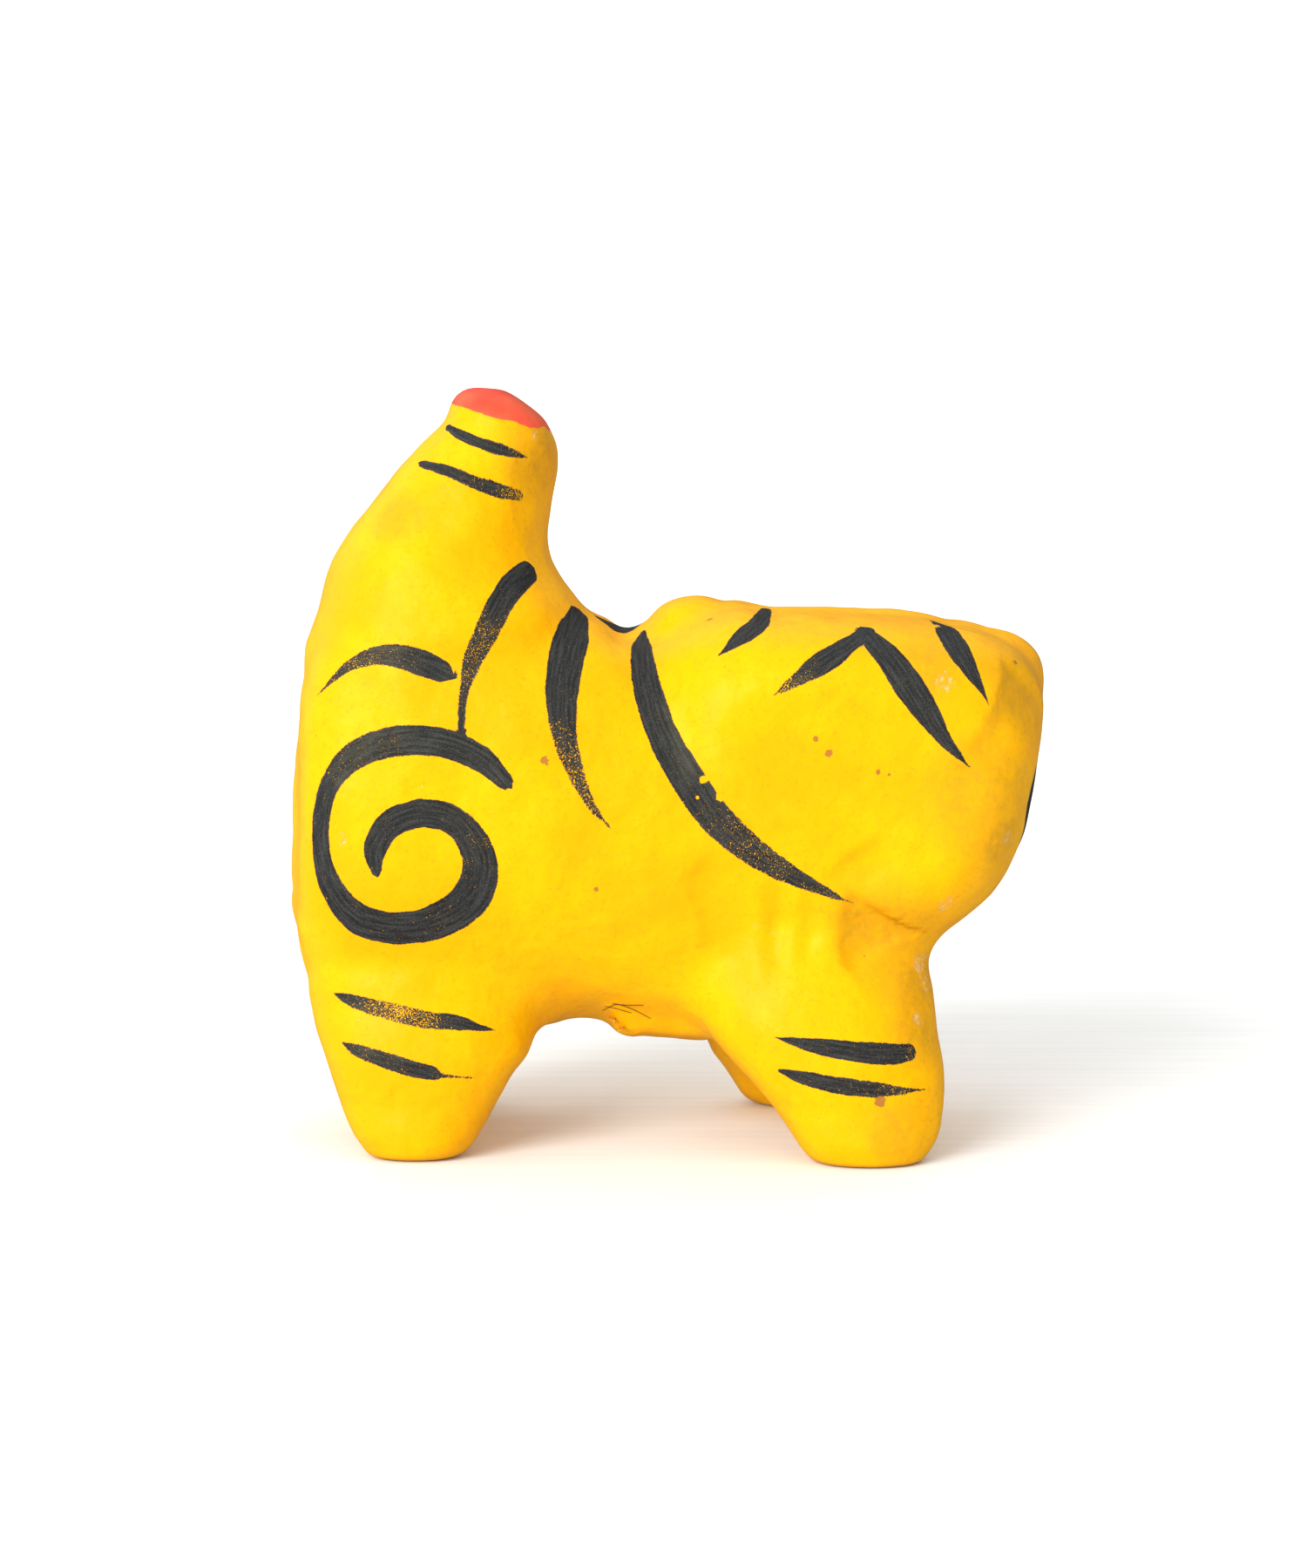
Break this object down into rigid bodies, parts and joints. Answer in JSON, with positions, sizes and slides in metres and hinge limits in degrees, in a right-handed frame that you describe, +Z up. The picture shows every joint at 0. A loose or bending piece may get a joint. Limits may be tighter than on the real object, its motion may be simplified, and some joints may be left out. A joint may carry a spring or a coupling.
{
  "type": "alebrije figure",
  "caption": "Hollow papier-mache tiger figure on short legs, with a raised tail and its head turned aside, painted with brush strokes and varnished; stands on a shelf as decoration.",
  "frame": {"origin": "on the floor, under the middle of the bounding box", "axes": "+X from the rump to the chest, +Y to the figure's left, the way the face looks, +Z up"},
  "size_m": [0.1988, 0.1044, 0.1968],
  "materials": {
    "yellow_painted_paper": "gloss paint and varnish over pasted paper",
    "red_painted_paper": "gloss paint and varnish over pasted paper"
  },
  "bodies": {
    "root": {"belly_patch": "yellow_painted_paper", "belly_strip": "yellow_painted_paper", "ear_left": "yellow_painted_paper", "ear_right": "yellow_painted_paper", "front_joint_strip_left": "yellow_painted_paper", "front_joint_strip_right": "yellow_painted_paper", "front_leg_left": "yellow_painted_paper", "front_leg_right": "yellow_painted_paper", "front_sole_left": "yellow_painted_paper", "front_sole_right": "yellow_painted_paper", "head_back_shell": "yellow_painted_paper", "head_face_shell": "yellow_painted_paper", "head_seam_strip": "yellow_painted_paper", "hind_joint_strip_left": "yellow_painted_paper", "hind_joint_strip_right": "yellow_painted_paper", "hind_leg_left": "yellow_painted_paper", "hind_leg_right": "yellow_painted_paper", "hind_sole_left": "yellow_painted_paper", "hind_sole_right": "yellow_painted_paper", "muzzle": "yellow_painted_paper", "neck_joint_strip": "yellow_painted_paper", "spine_strip": "yellow_painted_paper", "tail_end_cap": "red_painted_paper", "tail_joint_strip": "yellow_painted_paper", "tail_tube": "yellow_painted_paper", "torso_shell_left": "yellow_painted_paper", "torso_shell_right": "yellow_painted_paper"}
  },
  "joints": []
}
